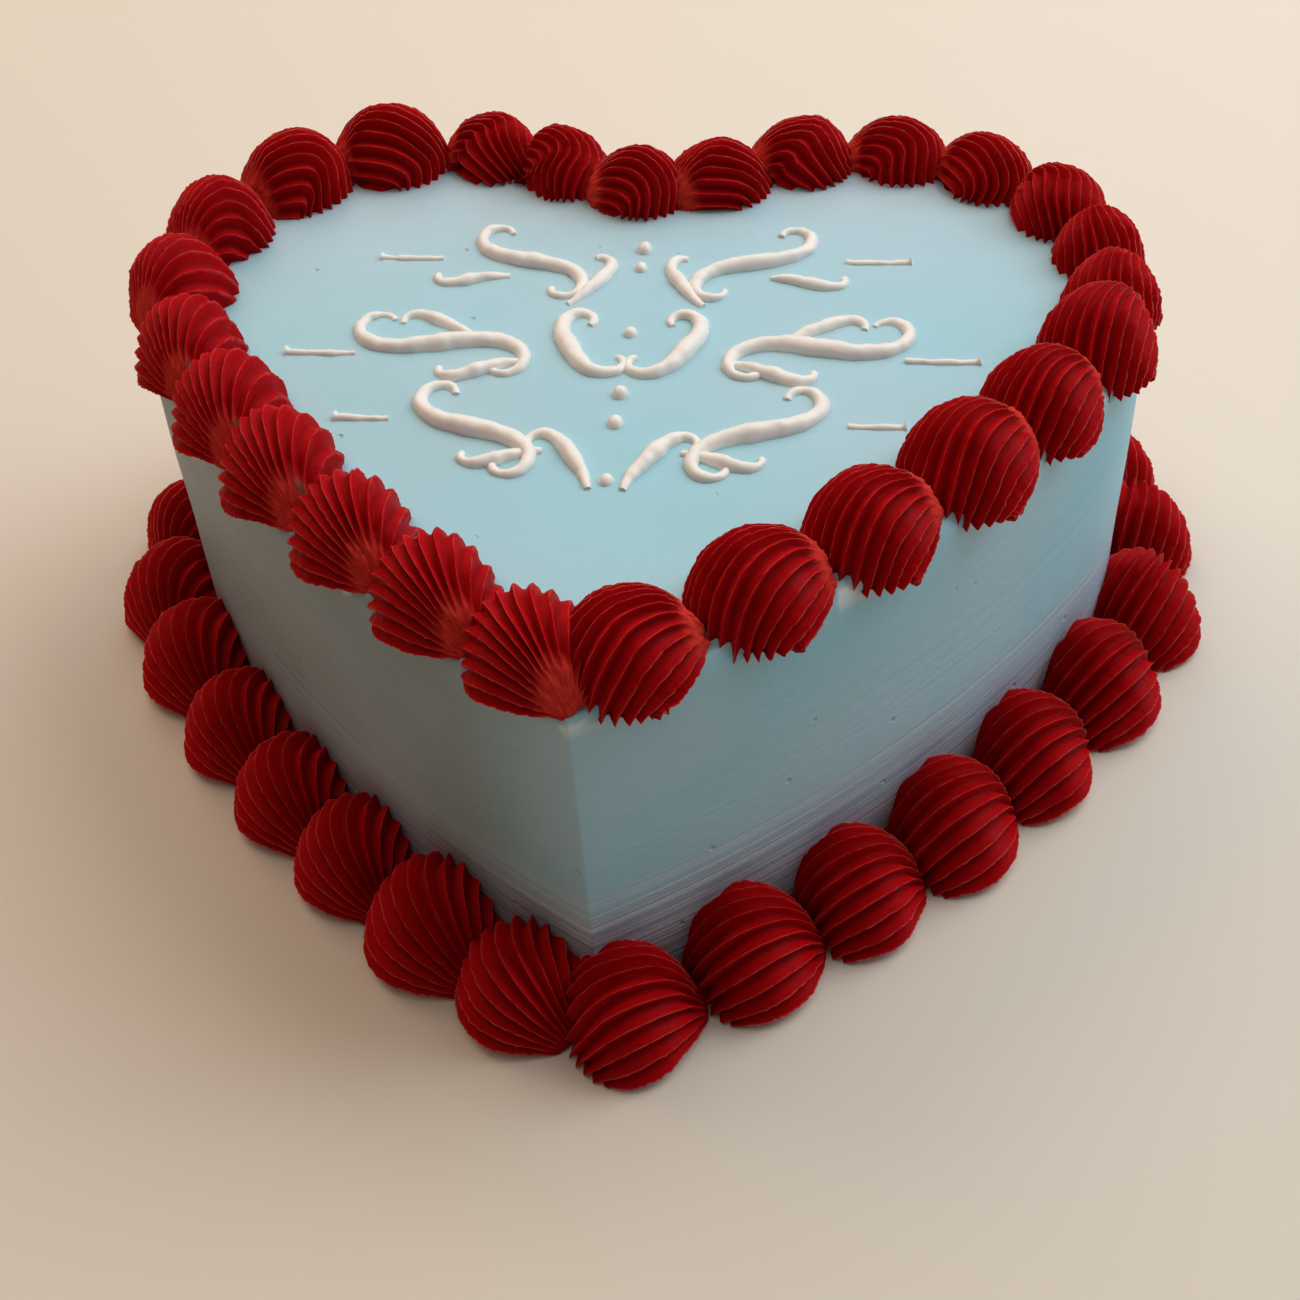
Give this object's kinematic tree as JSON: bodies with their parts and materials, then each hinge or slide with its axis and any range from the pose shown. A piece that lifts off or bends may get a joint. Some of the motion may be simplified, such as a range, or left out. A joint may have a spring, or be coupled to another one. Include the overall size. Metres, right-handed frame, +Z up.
{
  "type": "heart shaped cake",
  "caption": "Tall heart shaped cake under smooth pale blue icing, with red piped shell borders round its foot and top edge and white piped scrolls on top.",
  "frame": {"origin": "under the middle of the whole cake, on the plane that it stands on", "axes": "+Z up; the tip of the heart points to -Y and the cleft between the lobes to +Y; +X to the right as seen from the tip"},
  "size_m": [0.2772, 0.2456, 0.1045],
  "materials": {
    "icing": "smooth pale duck-egg blue buttercream with a soft sheen, fine scraper lines and a few pits; matte_plastic stands in for icing",
    "red_cream": "deep red buttercream piped through a star nozzle, soft sheen; matte_plastic stands in for buttercream",
    "white_piping": "white piping cream in rounded strokes, softly glossy; gloss_plastic stands in for icing"
  },
  "bodies": {
    "root": {"cake_body": "icing", "top_shell_01": "red_cream", "top_shell_02": "red_cream", "top_shell_03": "red_cream", "top_shell_04": "red_cream", "top_shell_05": "red_cream", "top_shell_06": "red_cream", "top_shell_07": "red_cream", "top_shell_08": "red_cream", "top_shell_09": "red_cream", "top_shell_10": "red_cream", "top_shell_11": "red_cream", "top_shell_12": "red_cream", "top_shell_13": "red_cream", "top_shell_14": "red_cream", "top_shell_15": "red_cream", "top_shell_16": "red_cream", "top_shell_17": "red_cream", "top_shell_18": "red_cream", "top_shell_19": "red_cream", "top_shell_20": "red_cream", "top_shell_21": "red_cream", "top_shell_22": "red_cream", "top_shell_23": "red_cream", "top_shell_24": "red_cream", "top_shell_25": "red_cream", "top_shell_26": "red_cream", "foot_shell_01": "red_cream", "foot_shell_02": "red_cream", "foot_shell_03": "red_cream", "foot_shell_04": "red_cream", "foot_shell_05": "red_cream", "foot_shell_06": "red_cream", "foot_shell_07": "red_cream", "foot_shell_08": "red_cream", "foot_shell_09": "red_cream", "foot_shell_10": "red_cream", "foot_shell_11": "red_cream", "foot_shell_12": "red_cream", "foot_shell_13": "red_cream", "foot_shell_14": "red_cream", "foot_shell_15": "red_cream", "foot_shell_16": "red_cream", "foot_shell_17": "red_cream", "foot_shell_18": "red_cream", "foot_shell_19": "red_cream", "foot_shell_20": "red_cream", "foot_shell_21": "red_cream", "foot_shell_22": "red_cream", "foot_shell_23": "red_cream", "foot_shell_24": "red_cream", "foot_shell_25": "red_cream", "foot_shell_26": "red_cream", "foot_shell_27": "red_cream", "foot_shell_28": "red_cream"}
  },
  "joints": []
}
